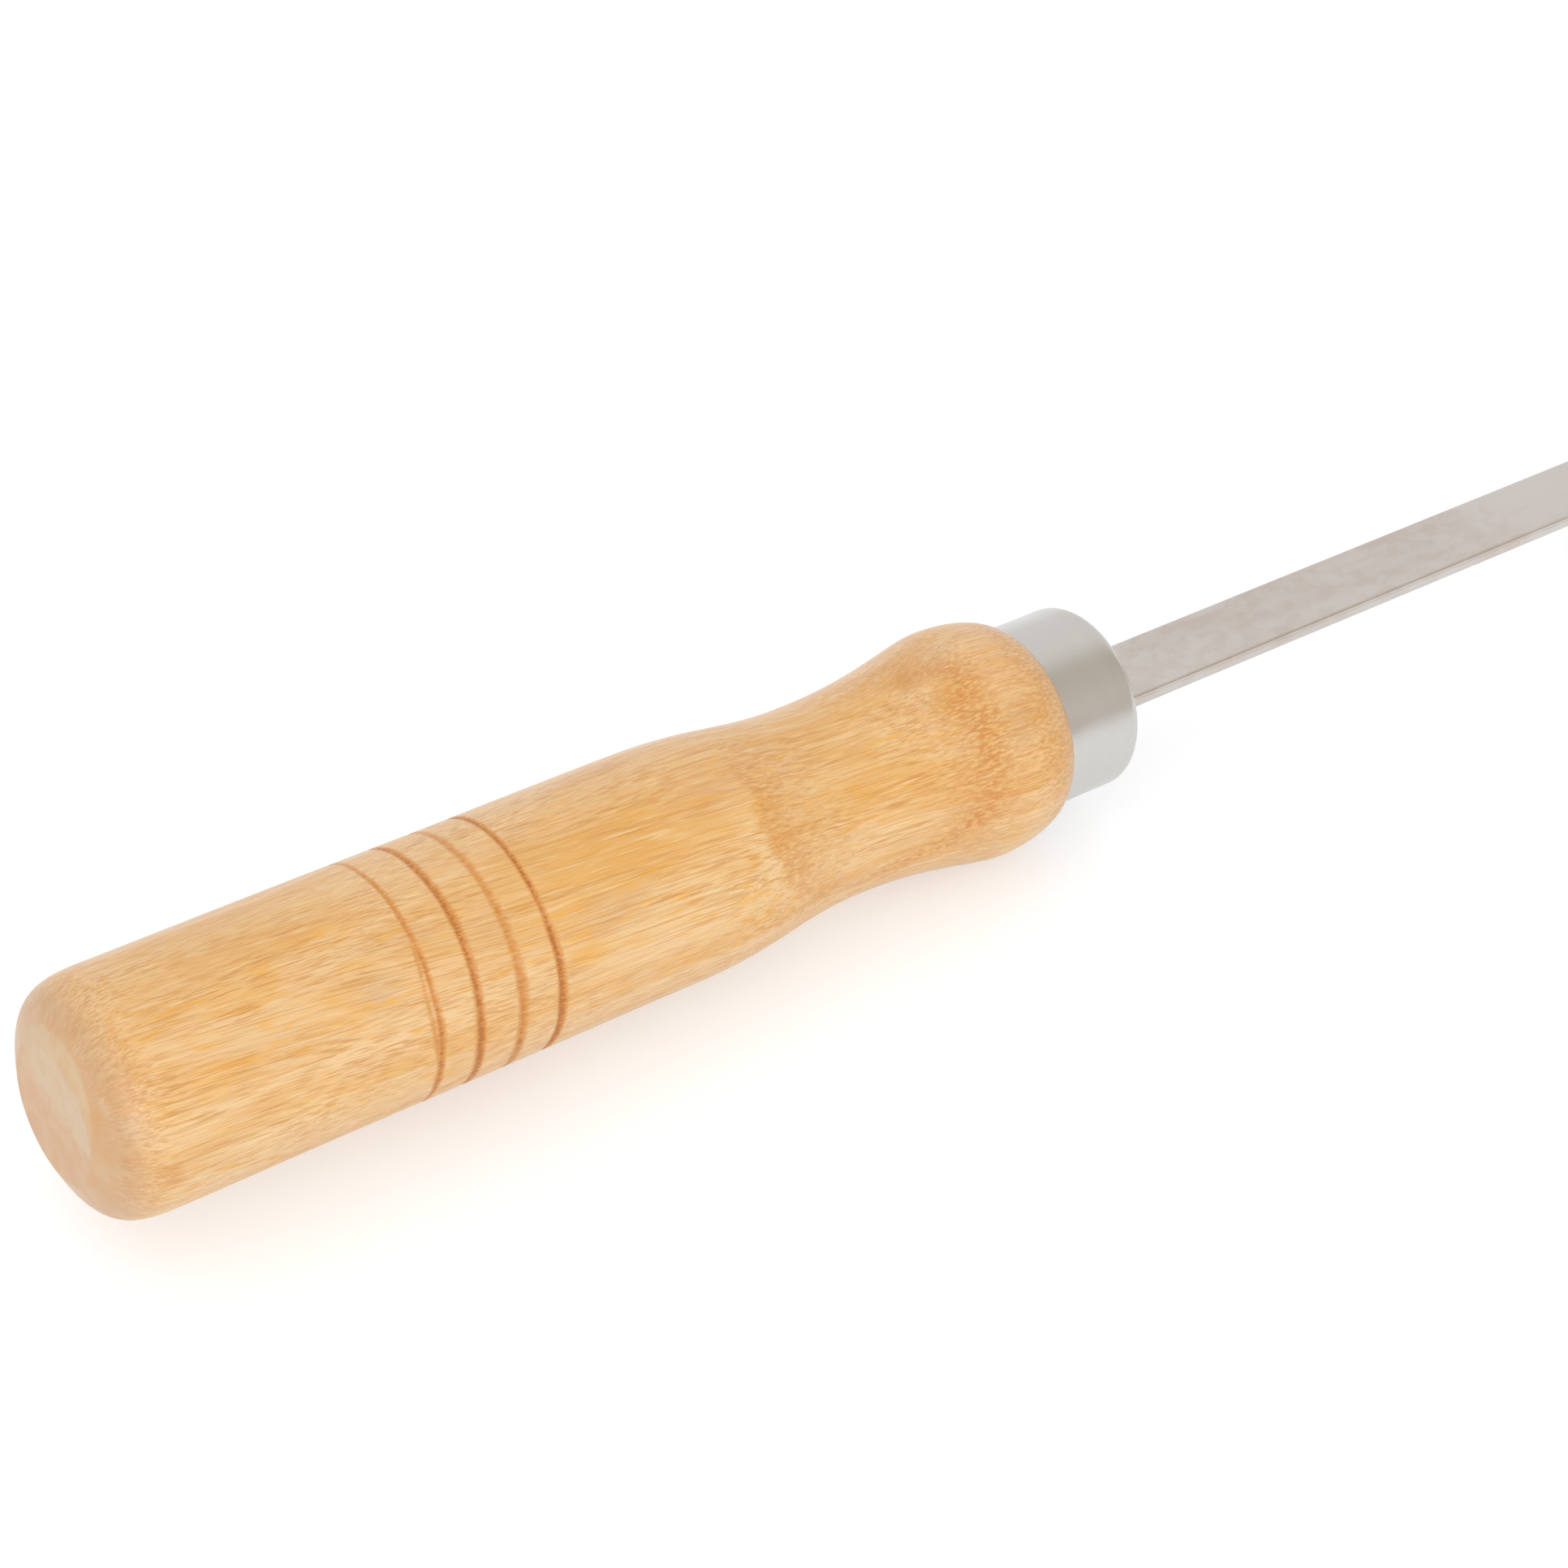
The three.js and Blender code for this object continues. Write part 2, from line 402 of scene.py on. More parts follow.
class HandleSizes(bpy.types.PropertyGroup):
    grip_radius: length("Grip radius", "Radius of the straight grip", 0.0152)
    grip_end: length("Grip end", "Station where the grip starts to narrow", 0.0835)
    waist_station: length("Waist station", "Station of the waist", 0.1097)
    waist_radius: length("Waist radius", "Radius at the waist", 0.0130)
    swell_station: length("Swell station", "Station of the swell's largest round", 0.1332)
    swell_radius: length("Swell radius", "Radius of the swell", 0.0157)
    shoulder: length("Shoulder", "Station of the shoulder behind the ferrule", 0.1423)
    grip_end_reach: length("Grip end reach", "How gently the narrowing leaves the grip", 0.0128)
    waist_rear_reach: length("Waist rear reach", "How gently the narrowing meets the waist", 0.0104)
    waist_front_reach: length("Waist front reach", "How gently the swell leaves the waist", 0.0130)
    swell_reach: length("Swell reach", "How gently the swell's largest round is reached", 0.0038)
    butt_flat_radius: length("Butt flat radius", "Radius of the flat disc on the butt end", 0.0088)
    butt_round: length("Butt round", "Length of the rounded butt end", 0.0092)
    butt_flat_reach: length("Butt flat reach", "How gently the round leaves the flat disc", 0.0049)
    butt_grip_reach: length("Butt grip reach", "How gently the round meets the grip", 0.0068)
    butt_flat_angle: angle("Butt flat angle", "Slope of the round at the flat disc's edge", 24)
    first_line: length("First line", "Station of the burnt line nearest the butt end", 0.0429)
    line_pitch: length("Line pitch", "Distance between neighbouring burnt lines", 0.00565)
    spigot_radius: length("Spigot radius", "Radius of the spigot inside the ferrule", 0.0114)
    bore_radius: length("Bore radius", "Radius of the blind bore for the tang", 0.0045)
    bore_bottom: length("Bore bottom", "Station of the bottom of the bore", 0.05985)
    drill_point: length("Drill point", "Depth of the cone that the drill leaves", 0.0027)
    waver: length("Waver", "How far the turned surface strays from a true round", 0.00003)
    layer_radius: length("Layer radius", "Distance from the axis of the layer the waist cuts into", 0.01514)
    layer_fall: length("Layer fall", "How quickly that layer comes nearer the axis round the handle", 0.00442)
    layer_facing: angle("Layer facing", "Angle round the axis where that layer lies furthest out", 58)
    layer_tilt: angle("Layer tilt", "How much that layer rises from the axis towards the front", 1.03)
    layer_wobble: length("Layer wobble", "How far that layer strays in and out round the handle", 0.00014)
    layer_end: angle("Layer end", "Angle round the axis where the mottle above that layer has faded out", 104)
    mottle_depth: length("Mottle depth", "Depth below that layer at which the rear mottle fades out", 0.0013)
    swell_mottle: length("Swell mottle", "Half the thickness of the mottled wood at its front", 0.00062)
    bloom_facing: angle("Bloom facing", "Angle round the axis where the pale bloom lies", 38)
    bloom_width: angle("Bloom width", "How far round the axis the bloom reaches", 26)


class WoodColours(bpy.types.PropertyGroup):
    beige: colour("Beige", "Plain wood between the growth bands", 238, 197, 143)
    golden: colour("Golden", "Warm growth bands", 231, 174, 90)
    pale: colour("Pale", "Light growth bands and fine light lines", 243, 210, 159)
    amber: colour("Amber", "Yellow-orange flecks", 240, 178, 74)
    fibre: colour("Fibre", "Fine darker fibres", 210, 146, 70)
    stain: colour("Stain", "Faint greyish patches", 212, 180, 142)
    mottle: colour("Mottle", "Orange-brown specks where fibres are cut across", 210, 136, 60)
    end_grain: colour("End grain", "Darker wood where the surface lies square to the fibres", 206, 165, 121)
    stroke: colour("Stroke", "Short brown strokes round the butt end", 198, 148, 98)
    pale_end: colour("Pale end", "Paler upper half of the butt end", 214, 184, 145)
    scorch: colour("Scorch", "Wood beside a burnt line", 214, 144, 68)
    burnt: colour("Burnt", "Middle of a burnt line", 182, 108, 36)


class FerruleSizes(bpy.types.PropertyGroup):
    radius: length("Radius", "Outer radius of the ferrule", 0.0125)
    wall: length("Wall", "Thickness of the drawn steel", 0.0008)
    edge_radius: length("Edge radius", "Round of the front edge", 0.0016)
    rim_round: length("Rim round", "Round of the rear rim and of the slot's edges", 0.00007)
    rim_gap: length("Rim gap", "Gap between the rear rim and the wood", 0.00002)
    slot_clearance: length("Slot clearance", "Room between the blade and the slot's sides", 0.0003)
    steel: colour("Steel", "Satin steel of the ferrule", 207, 204, 199)


class BladeSizes(bpy.types.PropertyGroup):
    tang_width: length("Tang width", "Width of the tang inside the handle", 0.0060)
    shoulder_draft: length("Shoulder draft", "Length over which the tang widens to the body", 0.0005)
    point_length: length("Point length", "Length of the pointed end", 0.0300)
    tip_width: length("Tip width", "Width at the very tip", 0.0016)
    tip_thickness: length("Tip thickness", "Thickness at the very tip", 0.0010)
    tip_round: length("Tip round", "Length over which the tip is rounded off", 0.0007)
    point_fullness: amount("Point fullness", "1 gives a straight-sided point and more a fuller one", 1.6, 4.0)
    rolled_edge: length("Rolled edge", "Width of the rolled upper edge near the ferrule", 0.00062)
    rolled_wide: length("Wide rolled edge", "Width of the rolled upper edge further along", 0.00110)
    rolled_drop: length("Rolled drop", "How far the rolled edge drops down the side", 0.00026)
    widening_from: length("Widening from", "Station where the rolled edge starts to widen", 0.1850)
    widening_to: length("Widening to", "Station where the rolled edge is at its widest", 0.2550)
    lower_bevel: length("Lower bevel", "Bevel of the lower edges", 0.00016)
    shear_depth: length("Shear depth", "Depth of the line that shearing leaves along the sides", 0.00008)
    steel: colour("Steel", "Satin steel of the blade", 212, 206, 200)
    cast: colour("Cast", "Faint warm cast that drifts over the blade", 202, 190, 181)


class AdhesiveColours(bpy.types.PropertyGroup):
    resin: colour("Resin", "Set adhesive in the handle's bore", 216, 205, 172)


class StageSizes(bpy.types.PropertyGroup):
    aim_station: length("Aim station", "Station that the camera looks at", 0.10364)
    aim_height: length("Aim height", "How far above the axis the camera looks", 0.00585)
    distance: length("Distance", "Distance of the camera from the place it looks at", 0.49319)
    azimuth: angle("Azimuth", "Direction that the camera looks in, from +Y towards +X", 43.52)
    elevation: angle("Elevation", "How steeply the camera looks down", 41.48)
    roll: angle("Roll", "How far the camera is turned about its own line of sight", 10.076)
    lens: FloatProperty(name="Lens", description="Focal length in millimetres", default=89.525)
    floor_size: length("Floor size", "Side of the square floor", 14.0)
    floor_shade: colour("Floor shade", "Light that the floor gives back", 230, 233, 237)
    floor_glow: amount("Floor glow", "Light that the camera sees on top of that", 0.36)
    mirrored_share: amount("Mirrored share", "Share of that glow that reflections see", 0.84)
    lamp_size: length("Lamp size", "Side of the square lamp", 1.6)
    lamp_distance: length("Lamp distance", "Distance of the lamp from the handle", 1.9)
    lamp_power: FloatProperty(name="Lamp power", description="Power of the lamp", default=10.0, unit="POWER")
    front: colour("Front", "Walls of the studio on the camera's side", 251, 251, 251)
    back: colour("Back", "Walls and ceiling of the studio behind the skewer", 247, 246, 246)
    gap: colour("Gap", "Gap between the walls, to the right of the camera", 227, 220, 211)
    gap_foot: colour("Gap foot", "Lower end of that gap", 211, 202, 193)
    gap_top: colour("Gap top", "Upper end of that gap", 211, 203, 190)


def soft_step(low, high, value):
    """0 up to low and 1 from high on, and between them three squares less two cubes of the way."""
    way = np.clip((value - low) / (high - low), 0, 1)
    return way * way * (3 - 2 * way)


def closed_wave(around, seed, waves=12):
    """A wobble between -1 and 1 that closes round the axis: sine waves of whole counts, each one weaker."""
    draw = np.random.default_rng(seed)
    counts = np.arange(1, waves + 1)
    heights = draw.normal(size=waves) / np.sqrt(counts)
    starts = draw.uniform(0, 2 * np.pi, waves)
    wave = (heights * np.sin(around[:, None] * counts + starts)).sum(1)
    return wave / np.abs(wave).max()


def round_axis(columns):
    """Angles at even steps all the way round the axis."""
    return np.linspace(0, 2 * np.pi, columns, endpoint=False)


def folded(around):
    """Angles round the axis from a quarter turn below to three quarters above, so that they part below."""
    return np.mod(around + math.pi / 2, 2 * math.pi) - math.pi / 2


def sweep(start, leave, arrive, end, steps):
    """Rows of station and radius on a cubic curve: its four points, weighted as Bezier curves do it."""
    way = np.linspace(0, 1, steps + 1)[:, None]
    weights = np.hstack([(1 - way) ** 3, 3 * way * (1 - way) ** 2, 3 * way**2 * (1 - way), way**3])
    return weights @ np.array([start, leave, arrive, end])


def level_sweep(start, leave, arrive, end, steps):
    """A cubic curve that is level at both ends, and leaves and meets them more gently with longer reaches."""
    return sweep(start, (start[0] + leave, start[1]), (end[0] - arrive, end[1]), end, steps)


def quarter_round(start, end, steps):
    """Rows on a quarter of an ellipse that leaves its start level and meets its end upright."""
    turn = np.linspace(0, np.pi / 2, steps + 1)
    return np.column_stack([
        start[0] + (end[0] - start[0]) * np.sin(turn),
        end[1] + (start[1] - end[1]) * np.cos(turn),
    ])


def straight_runs(places, steps):
    """Rows at even steps on the straight lines from each place to the next one."""
    runs = [np.linspace(start, end, count + 1) for start, end, count in zip(places, places[1:], steps)]
    return joined(*runs)


def joined(*runs):
    """Runs of rows one after another, each without its first row where it repeats the last one before it."""
    return np.vstack([runs[0], *(run[1:] for run in runs[1:])])


def in_frame(stations, across, up):
    """A grid of points in the model's frame: each row at its station, each point so far aside and up."""
    return np.stack(np.broadcast_arrays(butt_x + stations[:, None], across, axis_z + up), axis=-1)


def on_axis(*stations):
    """Points on the skewer's axis."""
    return [(butt_x + station, 0, axis_z) for station in stations]


def grid_faces(rows, columns, closed):
    """The four corners of each face between neighbouring rows and columns. The columns always close."""
    row = np.arange(rows if closed else rows - 1)[:, None]
    column = np.arange(columns)[None, :]
    after = (row + 1) % rows
    beside = (column + 1) % columns
    corners = (
        row * columns + column,
        row * columns + beside,
        after * columns + beside,
        after * columns + column,
    )
    return np.stack(np.broadcast_arrays(*corners), axis=-1).reshape(-1, 4)


def fan_faces(ring_start, columns, middle):
    """The three corners of each face between a ring of points and the point in its middle."""
    ring = np.arange(columns)
    return np.column_stack([ring_start + ring, ring_start + (ring + 1) % columns, np.full(columns, middle)])


def give_mask(mesh, name, values):
    """Gives each point of a closed grid its number or its place, and both end points their rows' means."""
    kind, key = ("FLOAT_VECTOR", "vector") if values.ndim == 3 else ("FLOAT", "value")
    points = values.reshape(values.shape[0] * values.shape[1], -1)
    ends = [np.atleast_1d(values[row].mean(0)) for row in (0, -1)]
    mesh.attributes.new(name, kind, "POINT").data.foreach_set(key, np.vstack([points, *ends]).ravel())


def make_piece(name, node, grid, material, ends=None, masks=None):
    """Makes a closed mesh from a grid of points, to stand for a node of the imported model.

    The rows close as the columns do, unless two end points are given, which then close the first and last
    rows. The faces are turned outwards by the sign of the volume inside them, which is the sum of the triple
    products of their corners. Only a grid with end points carries masks.
    """
    rows, columns, _ = grid.shape
    points = grid.reshape(-1, 3)
    quads = grid_faces(rows, columns, ends is None)
    fans = np.zeros((0, 3), int)
    if ends is not None:
        points = np.vstack([points, ends])
        first = fan_faces(0, columns, rows * columns)[:, ::-1]
        last = fan_faces((rows - 1) * columns, columns, rows * columns + 1)
        fans = np.vstack([first, last])
    triangles = np.vstack([quads[:, [0, 1, 2]], quads[:, [0, 2, 3]], fans])
    corners = points[triangles] - points.mean(0)
    if np.einsum("ij,ij->", corners[:, 0], np.cross(corners[:, 1], corners[:, 2])) < 0:
        quads = quads[:, ::-1]
        fans = fans[:, ::-1]
    mesh = bpy.data.meshes.new(name)
    mesh.from_pydata(points.tolist(), [], quads.tolist() + fans.tolist())
    for mask, values in (masks or {}).items():
        give_mask(mesh, mask, values)
    mesh.shade_smooth()
    mesh.set_sharp_from_angle(angle=SHARP_ANGLE)
    mesh.materials.append(material)
    piece = bpy.data.objects.new(name, mesh)
    bpy.context.scene.collection.objects.link(piece)
    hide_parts(node)
    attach(piece, "root")
    return piece


def grip_stations(sizes):
    """Stations along the straight grip, crowded where the lines are by summing bell curves round them."""
    even = np.linspace(sizes.butt_round, sizes.grip_end, CROWD_STEPS)
    lines = sizes.first_line + sizes.line_pitch * np.arange(len(LINE_MARKS))
    bells = np.exp(-(((even[:, None] - lines) / CROWD_REACH) ** 2)).sum(1)
    filled = np.cumsum(1 + CROWD_EXTRA * bells)
    return np.interp(np.linspace(filled[0], filled[-1], GRIP_ROWS), filled, even)


def handle_profile(sizes, ferrule_radius):
    """Rows of station and radius from the disc on the butt end to the tip of the drilled bore.

    It also gives how many of them are the outside. The butt and the waist are cubic curves, the shoulder is a
    quarter of an ellipse, and the rest is straight.
    """
    grip = sizes.grip_radius
    flat = sizes.butt_flat_radius
    slope_reach = sizes.butt_flat_reach
    slope = sizes.butt_flat_angle
    butt = sweep(
        (0.0, flat),
        (slope_reach * math.sin(slope), flat + slope_reach * math.cos(slope)),
        (sizes.butt_round - sizes.butt_grip_reach, grip),
        (sizes.butt_round, grip),
        BUTT_ROWS,
    )
    stations = grip_stations(sizes)
    waist = (sizes.waist_station, sizes.waist_radius)
    swell = (sizes.swell_station, sizes.swell_radius)
    outside = joined(
        straight_runs([(0.0, flat / (DISC_ROWS + 1)), (0.0, flat)], [DISC_ROWS]),
        butt,
        np.column_stack([stations, np.full(len(stations), grip)]),
        level_sweep((sizes.grip_end, grip), sizes.grip_end_reach, sizes.waist_rear_reach, waist, CURVE_ROWS),
        level_sweep(waist, sizes.waist_front_reach, sizes.swell_reach, swell, CURVE_ROWS),
        quarter_round(swell, (sizes.shoulder, ferrule_radius), SHOULDER_ROWS),
    )
    cone_end = (sizes.bore_bottom - sizes.drill_point * CONE_SHARE, sizes.bore_radius * (1 - CONE_SHARE))
    inside = straight_runs([
        outside[-1],
        (sizes.shoulder, sizes.spigot_radius),
        (spigot_front, sizes.spigot_radius),
        (spigot_front, sizes.bore_radius),
        (sizes.bore_bottom, sizes.bore_radius),
        cone_end,
    ], INSIDE_ROWS)
    return joined(outside, inside), len(outside)


def burnt_lines(sizes, stations, around):
    """How deep the lines are cut, and how strongly they are burnt, at every row and column.

    Each line lies at its even place plus a closed wobble and less its lean. Its depth falls off on a smooth
    S over its half width and its burn as a bell curve, wider on one side than on the other by a closed wave.
    All of this wavers round the handle and is stronger below. A split line has a second, weaker pass that
    parts from the first and meets it again as the square of a sine between two angles.
    """
    cut = np.zeros((len(stations), len(around)))
    burn = cut.copy()
    parting = np.clip((folded(around) - SPLIT_FROM) / (SPLIT_TO - SPLIT_FROM), 0, 1)
    opened = np.sin(np.pi * parting) ** 2
    below = soft_step(*BELOW_SPAN, -np.sin(around))
    for index, mark in enumerate(LINE_MARKS):
        width_waver, burn_waver, skew_waver = (
            waver.share * closed_wave(around, mark.seed + waver.draw, waver.waves)
            for waver in (WIDTH_WAVER, BURN_WAVER, SKEW_WAVER)
        )
        place = sizes.first_line + index * sizes.line_pitch
        place = place + mark.wobble * closed_wave(around, mark.seed) - mark.lean * below
        width = mark.half_width * (TOP_WIDTH + WIDTH_BELOW * below + width_waver)
        weight = 1 + mark.under * below + burn_waver
        skew = BURN_SKEW + skew_waver
        for parted, share in ((0, 1), (mark.split, SECOND_PASS)):
            off = (stations[:, None] - place + parted * opened) / width
            scorched = off / (1 + np.where(off < 0, -skew, skew))
            cut = np.maximum(cut, mark.depth * share * (1 - soft_step(0, 1, np.abs(off))))
            burn = np.maximum(burn, mark.burn * weight * share * np.exp(-(scorched**2)))
    return cut, burn


def grain_zones(sizes, stations, radii, around):
    """Where the wood is mottled and where it has a pale bloom, from 0 to 1 at every row and column.

    The waist cuts into a growth layer, which shows as a loop round it. The layer's distance from the axis
    falls with the square of one less the cosine of the angle from its highest side, and rises with the
    station. Behind the waist the mottle sets in where the surface dips under the layer and fades with the
    depth, and the bloom, a bell curve round the axis, lies just outside. Ahead of it the mottle is a bell
    curve over the depth. On one side of the handle both fade out.
    """
    off_side = (1 - np.cos(around - sizes.layer_facing)) ** 2
    rise = math.tan(sizes.layer_tilt) * (stations[:, None] - sizes.waist_station)
    wobble = sizes.layer_wobble * closed_wave(around, seed=31, waves=44)
    depth = sizes.layer_radius - sizes.layer_fall * off_side + rise + wobble - radii[:, None]
    way = depth / sizes.mottle_depth
    rear = REAR_MOTTLE * soft_step(*MOTTLE_COMES, way) * (1 - DEEP_LOSS * soft_step(*MOTTLE_GOES, way))
    front = np.exp(-((depth / sizes.swell_mottle - FRONT_DEPTH) ** 2))
    front *= 1 - soft_step(sizes.swell_station, sizes.shoulder, stations)[:, None]
    waist = sizes.waist_station
    ahead = soft_step(waist - WAIST_CHANGE, waist + WAIST_CHANGE, stations)[:, None]
    mottle = (stations > sizes.grip_end)[:, None] * (rear + (front - rear) * ahead)
    fade = soft_step(sizes.layer_end - END_FADE, sizes.layer_end, folded(around))
    mottle *= 1 - (END_LOSS - END_LOSS_EASED * ahead) * fade
    turned = (around - sizes.bloom_facing) / sizes.bloom_width
    bloom = soft_step(*BLOOM_COMES, way) * (1 - soft_step(*BLOOM_GOES, way))
    return mottle, bloom * (1 - ahead) * np.exp(-(turned**2))


def handle_grid(sizes, ferrule_radius):
    """The turned handle: its profile carried round the axis, less the lines and plus a slight waver.

    The slope mask is the sine of the angle between the surface and the axis. The surface mask holds places
    along the surface: the length of the profile so far and a place on a circle.
    """
    profile, outside_rows = handle_profile(sizes, ferrule_radius)
    stations, radii = profile.T
    around = round_axis(HANDLE_COLUMNS)
    outside = (np.arange(len(profile)) < outside_rows)[:, None]
    cut, burn = burnt_lines(sizes, stations, around)
    drift = np.sin(stations[:, None] * DRIFT_RATE + closed_wave(around, seed=5, waves=4))
    drift *= closed_wave(around, seed=6, waves=5)
    eased = soft_step(0, sizes.butt_flat_radius, radii)[:, None]
    spread = radii[:, None] + outside * (sizes.waver * drift * eased - cut)
    rise = np.gradient(radii)
    slope = np.abs(rise) / np.hypot(rise, np.gradient(stations))
    mottle, bloom = grain_zones(sizes, stations, radii, around)
    walked = np.cumsum(np.hypot(np.diff(stations, prepend=0), np.diff(radii, prepend=0)))
    spun = [walked[:, None], sizes.grip_radius * np.cos(around), sizes.grip_radius * np.sin(around)]
    masks = {
        "burn": np.clip(burn * outside, 0, MOST_BURN),
        "slope": slope[:, None] * np.ones(len(around)),
        "mottle": mottle,
        "bloom": bloom,
        "surface": np.stack(np.broadcast_arrays(*spun), axis=-1) * MILLIMETRES,
    }
    grid = in_frame(stations, -spread * np.cos(around), spread * np.sin(around))
    return grid, on_axis(0, sizes.bore_bottom - sizes.drill_point), masks


def ferrule_grid(sizes, shoulder):
    """The drawn cup: a closed profile carried round the axis, between the slot's outline and true circles.

    Each row has a station, a radius and a share. A point is the share of the way from the slot's outline,
    a rectangle with rounded corners, to the circle of that radius, both taken at the same angle.
    """
    tiny = sizes.rim_round
    rim = shoulder + sizes.rim_gap
    radius = sizes.radius
    inner = radius - sizes.wall
    inner_face = ferrule_face - sizes.wall
    inner_edge = sizes.edge_radius - sizes.wall
    face_radius = radius - sizes.edge_radius
    edge_start = ferrule_face - sizes.edge_radius
    inner_start = inner_face - inner_edge
    wall = joined(
        quarter_round((face_radius, ferrule_face), (radius, edge_start), EDGE_ROWS)[:, ::-1],
        straight_runs([
            (edge_start, radius),
            (rim + tiny, radius),
            (rim, radius - tiny),
            (rim, inner + tiny),
            (rim + tiny, inner),
            (inner_start, inner),
        ], WALL_ROWS),
        quarter_round((inner_start, inner), (inner_face, inner - inner_edge), INNER_EDGE_ROWS),
    )
    rows = np.vstack([
        [(ferrule_face - tiny, face_radius, 0.0)],
        [(ferrule_face, face_radius, share) for share in np.linspace(*FACE_SHARES, FACE_ROWS)],
        np.column_stack([wall, np.ones(len(wall))]),
        [(inner_face, inner - inner_edge, share) for share in np.linspace(*FACE_SHARES[::-1], INNER_ROWS)],
        [(inner_face + tiny, face_radius, 0.0)],
    ])
    stations, radii, shares = rows.T
    around = round_axis(FERRULE_COLUMNS)
    circle = np.stack([-np.cos(around), np.sin(around)])
    power = SLOT_SQUARENESS
    reach = (np.abs(circle) ** power).sum(0) ** (-1 / power)
    half_sizes = np.array([[blade_half_width], [blade_half_thickness]]) + sizes.slot_clearance
    slot = half_sizes * reach * circle
    across = (1 - shares)[:, None, None] * slot + (shares * radii)[:, None, None] * circle
    return in_frame(stations, across[:, 0], across[:, 1])


def blade_section(half_width, half_thickness, rolled, drop, bevel, shear):
    """Half a cross-section of the blade, from the middle of the top to the middle of the underside.

    All values are columns, one for each station. The top is flat, then a quarter of an ellipse rolls down
    to the side, which has a shallow line below it, and a small quarter round leads to the underside.
    """
    flat = np.linspace(0, 1, TOP_POINTS)[:-1]
    roll = np.linspace(0, np.pi / 2, ROLL_POINTS)
    corner = np.linspace(0, np.pi / 2, BEVEL_POINTS)
    under = np.linspace(1, 0, UNDER_POINTS)[1:]
    side_top = half_thickness - drop
    side_bottom = bevel - half_thickness
    runs = (
        (flat * (half_width - rolled), half_thickness + 0 * flat),
        (half_width - rolled + rolled * np.sin(roll), side_top + drop * np.cos(roll)),
        (half_width - shear * SHEAR_NOTCH, side_top + (side_bottom - side_top) * SHEAR_DOWN),
        (half_width - bevel + bevel * np.cos(corner), side_bottom - bevel * np.sin(corner)),
        (under * (half_width - bevel), 0 * under - half_thickness),
    )
    return [np.hstack(values) for values in zip(*runs)]


def blade_grid(sizes, ferrule):
    """The blade's cross-sections at every station, from the tang to the point.

    The width steps up from the tang at the shoulders. Over the point, width and thickness fall with a power
    of the way along it, and the very tip is rounded as a quarter of an ellipse.
    """
    shoulder = ferrule_face - ferrule.wall
    body_start = ferrule_face + ferrule.slot_clearance
    point_start = point_end - sizes.point_length
    round_start = point_end - sizes.tip_round
    stations = np.concatenate([
        np.linspace(tang_end, shoulder - sizes.shoulder_draft, TANG_ROWS),
        [shoulder, body_start],
        np.linspace(body_start, point_start, BODY_ROWS)[1:],
        np.linspace(point_start, round_start, POINT_ROWS)[1:],
        round_start + sizes.tip_round * np.sin(np.linspace(0, np.pi / 2, TIP_ROWS)[1:-1]),
    ])
    along = np.clip((stations - point_start) / sizes.point_length, 0, 1) ** sizes.point_fullness
    rounded = np.clip((stations - round_start) / sizes.tip_round, 0, 1)
    cap = np.sqrt(1 - rounded**2)
    tang = stations <= shoulder - sizes.shoulder_draft
    half_width = np.where(tang, sizes.tang_width / 2, blade_half_width)
    half_width = (half_width + (sizes.tip_width / 2 - half_width) * along) * cap
    half_thickness = (blade_half_thickness + (sizes.tip_thickness / 2 - blade_half_thickness) * along) * cap
    shrink = half_thickness / blade_half_thickness
    widening = soft_step(sizes.widening_from, sizes.widening_to, stations)
    rolled = sizes.rolled_edge + (sizes.rolled_wide - sizes.rolled_edge) * widening
    rolled = rolled * shrink * half_width / blade_half_width
    drop, bevel, shear = (size * shrink for size in (sizes.rolled_drop, sizes.lower_bevel, sizes.shear_depth))
    columns = [value[:, None] for value in (half_width, half_thickness, rolled, drop, bevel, shear)]
    across, up = blade_section(*columns)
    other_side = slice(-2, 0, -1)
    across = np.hstack([-across, across[:, other_side]])
    up = np.hstack([up, up[:, other_side]])
    return in_frame(stations, across, up), on_axis(tang_end, point_end)


